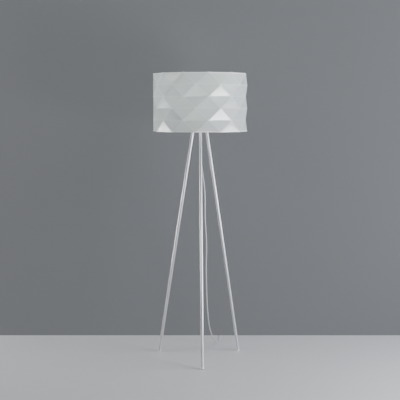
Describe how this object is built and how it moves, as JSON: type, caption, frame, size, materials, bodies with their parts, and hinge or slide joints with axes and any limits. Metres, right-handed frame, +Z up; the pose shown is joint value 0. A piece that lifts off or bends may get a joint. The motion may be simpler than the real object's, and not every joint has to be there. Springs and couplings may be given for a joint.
{
  "type": "tripod floor lamp",
  "caption": "Floor lamp on slim metal tripod legs, with a folded white drum shade that turns, a screw-in bulb and a mains cord with a foot switch.",
  "frame": {"origin": "on the lamp's axis at the floor, midway between the three feet", "axes": "+Z up along the lamp's axis; one leg stands towards -Y, the two others towards +X+Y and -X+Y"},
  "size_m": [0.4872, 0.9828, 1.5],
  "materials": {
    "leg_nickel": "satin nickel plating",
    "foot_metal": "satin",
    "zinc": "zinc plated",
    "holder_plastic": "satin",
    "ceramic": "glazed",
    "brass": "plain",
    "live_sleeve": "plain",
    "neutral_sleeve": "plain",
    "cord_pvc": "satin",
    "tie_plastic": "woven",
    "switch_plastic": "fine texture",
    "plug_plastic": "fine texture",
    "pin_metal": "nickel plated",
    "sleeve_plastic": "plain",
    "shade_sheet": "translucent satin sheet",
    "shade_trim": "satin",
    "frame_wire": "white powder coat",
    "bulb_nickel": "nickel plated",
    "bulb_black": "glossy",
    "bulb_white": "satin",
    "bulb_opal": "opal",
    "led_board_metal": "white solder mask",
    "led_yellow": "phosphor",
    "driver_green": "solder mask"
  },
  "bodies": {
    "stand": {"leg_front": "leg_nickel", "leg_right": "leg_nickel", "leg_left": "leg_nickel", "leg_insert_front": "zinc", "leg_insert_right": "zinc", "leg_insert_left": "zinc", "foot_cap_front": "foot_metal", "foot_cap_right": "foot_metal", "foot_cap_left": "foot_metal", "leg_bolts": "zinc", "leg_washers": "zinc", "leg_hub": "leg_nickel", "nipple": "zinc", "nipple_nut": "zinc", "nipple_washer": "zinc", "cord_grip": "cord_pvc", "holder_cap": "holder_plastic", "holder_skirt": "holder_plastic", "contact_insert": "ceramic", "screw_shell": "brass", "centre_contact": "brass", "terminal_blocks": "brass", "terminal_screws": "zinc", "live_wire": "live_sleeve", "neutral_wire": "neutral_sleeve", "holder_ring": "holder_plastic", "cord_hanging": "cord_pvc", "cord_lead": "cord_pvc", "cord_tail": "cord_pvc", "cord_coil": "cord_pvc", "cord_tie": "tie_plastic", "switch_base": "switch_plastic", "switch_cover": "switch_plastic", "switch_screws": "zinc", "switch_spring": "zinc", "switch_contacts": "brass", "switch_relief_in": "cord_pvc", "switch_relief_out": "cord_pvc", "plug_body": "plug_plastic", "plug_pins": "pin_metal", "pin_sleeves": "sleeve_plastic", "plug_relief": "cord_pvc"},
    "shade": {"shade_skin": "shade_sheet", "shade_trim_top": "shade_trim", "shade_trim_bottom": "shade_trim", "shade_wire_top": "frame_wire", "shade_wire_bottom": "frame_wire", "spider_ring": "frame_wire", "spider_arm_1": "frame_wire", "spider_arm_2": "frame_wire", "spider_arm_3": "frame_wire"},
    "bulb_base": {"bulb_tip": "bulb_nickel"},
    "bulb": {"bulb_insulator": "bulb_black", "bulb_cap": "bulb_nickel", "bulb_housing": "bulb_white", "bulb_diffuser": "bulb_opal", "led_board": "led_board_metal", "led_chips": "led_yellow", "driver_board": "driver_green"},
    "switch_button": {"switch_button": "switch_plastic"}
  },
  "joints": [
    {"name": "shade_turn", "type": "hinge", "parent": "stand", "child": "shade", "pos_m": [0, 0, 1.3043], "axis": [0, 0, 1], "continuous": true},
    {"name": "bulb_lift", "type": "slide", "parent": "stand", "child": "bulb_base", "axis": [0, 0, 1], "range_m": [0, 0.01452]},
    {"name": "bulb_turn", "type": "hinge", "parent": "bulb_base", "child": "bulb", "pos_m": [0, 0, 1.3073], "axis": [0, 0, 1], "range_deg": [0, 1440]},
    {"name": "switch_press", "type": "slide", "parent": "stand", "child": "switch_button", "axis": [0, 0, -1], "range_m": [0, 0.0025], "stiffness_N_per_m": 600, "springref_m": -0.003, "deforming": ["switch_spring"]}
  ],
  "couplings": [
    {"joint": "bulb_lift", "follows": "bulb_turn", "m_per_rad": 0.00057757}
  ]
}
